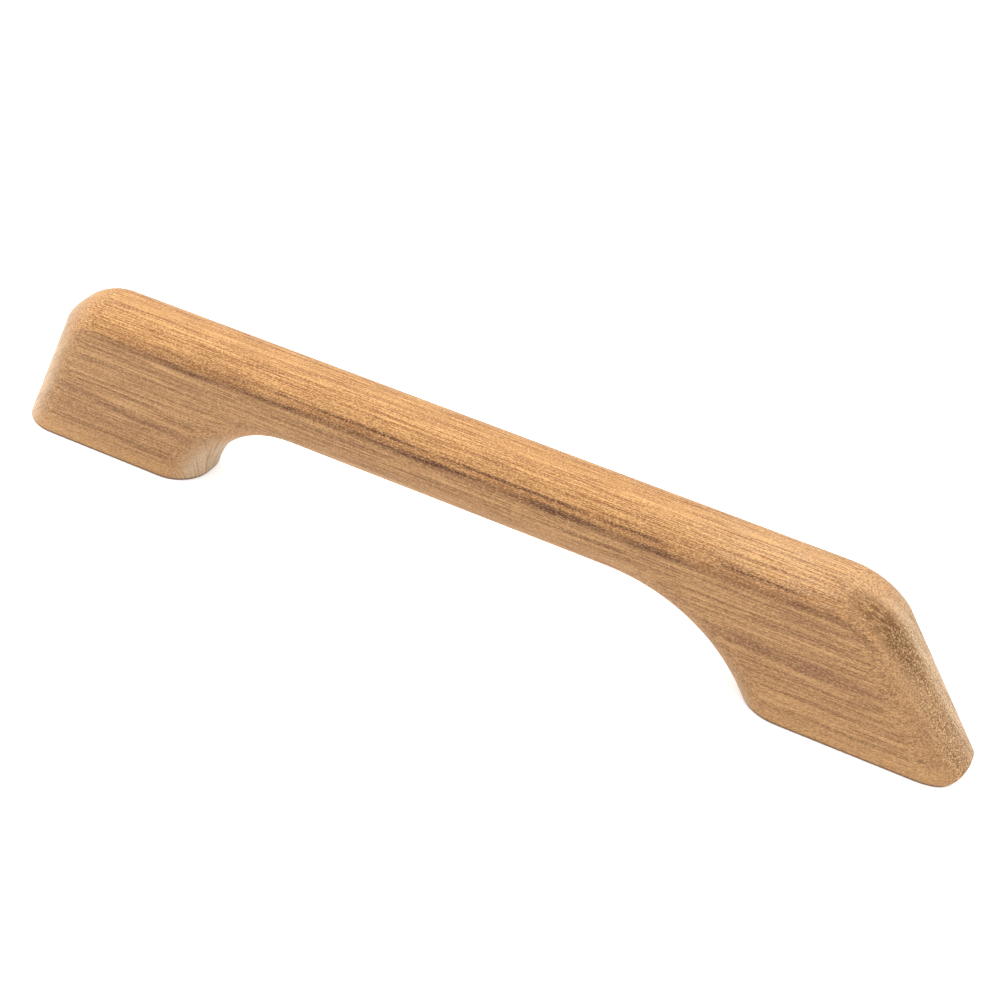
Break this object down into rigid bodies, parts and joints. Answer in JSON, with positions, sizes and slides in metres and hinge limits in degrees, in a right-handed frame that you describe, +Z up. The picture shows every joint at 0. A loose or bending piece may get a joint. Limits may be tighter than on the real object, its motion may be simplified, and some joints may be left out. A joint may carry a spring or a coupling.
{
  "type": "boat grab rail",
  "caption": "Solid wood single-loop grab rail with a rounded grip, one steep end and one swept-back end, fixed from below through the deck.",
  "frame": {"origin": "on the deck plane, halfway along the rail's overall length and across its width", "axes": "+X along the rail towards its raked end, +Y across it, +Z up off the deck"},
  "size_m": [0.36, 0.03, 0.0575],
  "materials": {
    "teak": "sanded satin, straight-grained teak",
    "insert_brass": "dull machined brass"
  },
  "bodies": {
    "root": {"teak_rail": "teak", "blunt_end_insert": "insert_brass", "raked_end_insert": "insert_brass"}
  },
  "joints": []
}
